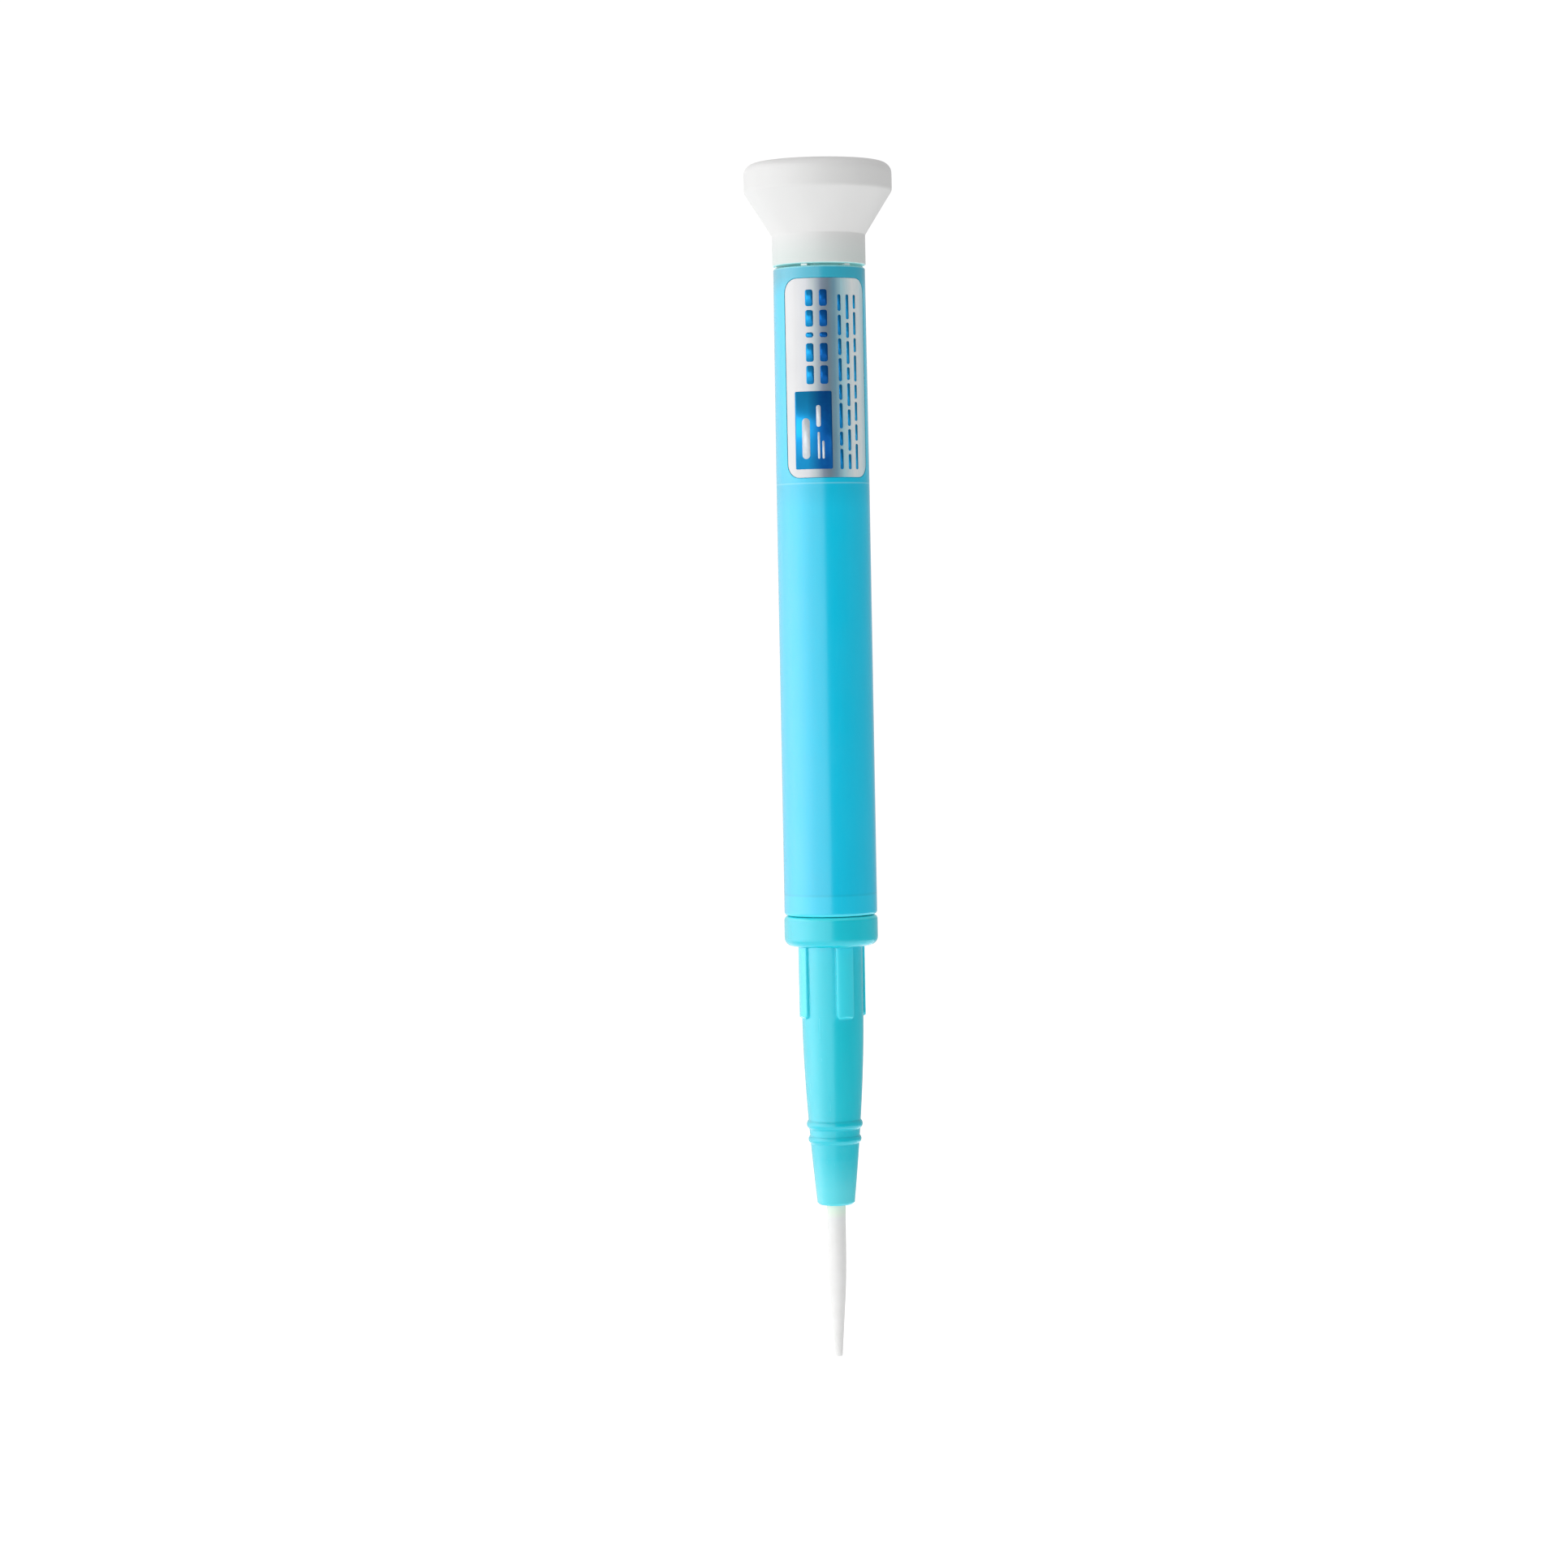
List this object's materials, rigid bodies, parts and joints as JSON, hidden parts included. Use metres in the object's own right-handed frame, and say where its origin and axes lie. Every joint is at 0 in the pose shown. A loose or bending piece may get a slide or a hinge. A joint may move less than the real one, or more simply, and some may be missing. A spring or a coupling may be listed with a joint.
{
  "type": "desoldering pump",
  "caption": "Slim hand desoldering pump with a flared white push knob, blue barrel with foil label, ribbed blue nose, white nozzle and a latch button on the back.",
  "frame": {"origin": "centre of the nozzle's mouth, the working point of the pump", "axes": "+Z along the pump from the nozzle to the knob; the label faces -Y and the release button faces +Y"},
  "size_m": [0.0234, 0.0234, 0.19],
  "materials": {
    "barrel_plastic": "satin translucent moulded polypropylene",
    "nose_plastic": "satin translucent moulded polypropylene",
    "knob_plastic": "satin moulded plastic",
    "button_plastic": "satin moulded plastic",
    "cap_plastic": "satin moulded plastic",
    "ptfe": "waxy white PTFE",
    "foil": "brushed foil with printing",
    "rubber": "matt",
    "silicone": "matt",
    "steel": "ground",
    "spring_steel": "drawn wire"
  },
  "bodies": {
    "barrel": {"barrel": "barrel_plastic", "label": "foil", "end_cap": "cap_plastic", "guide_bush": "cap_plastic", "bumper": "rubber", "latch_spring": "spring_steel", "main_spring": "spring_steel", "spring_washer": "steel"},
    "plunger": {"knob": "knob_plastic", "plunger_rod": "steel", "piston": "cap_plastic", "piston_oring": "rubber", "piston_washer": "steel", "piston_screw": "steel"},
    "release": {"release_button": "button_plastic"},
    "nose": {"nose": "nose_plastic", "nose_oring": "rubber", "nozzle": "ptfe", "nozzle_seal": "silicone", "nozzle_retainer": "steel"}
  },
  "joints": [
    {"name": "plunger_slide", "type": "slide", "parent": "barrel", "child": "plunger", "axis": [0, 0, 1], "range_m": [0, 0.05], "deforming": ["main_spring", "latch_spring"]},
    {"name": "release_press", "type": "slide", "parent": "barrel", "child": "release", "axis": [0, -1, 0], "range_m": [0, 0.0015], "stiffness_N_per_m": 200, "springref_m": -0.001, "deforming": ["latch_spring"]},
    {"name": "nose_pull", "type": "slide", "parent": "barrel", "child": "nose", "axis": [0, 0, -1], "range_m": [0, 0.012]}
  ]
}
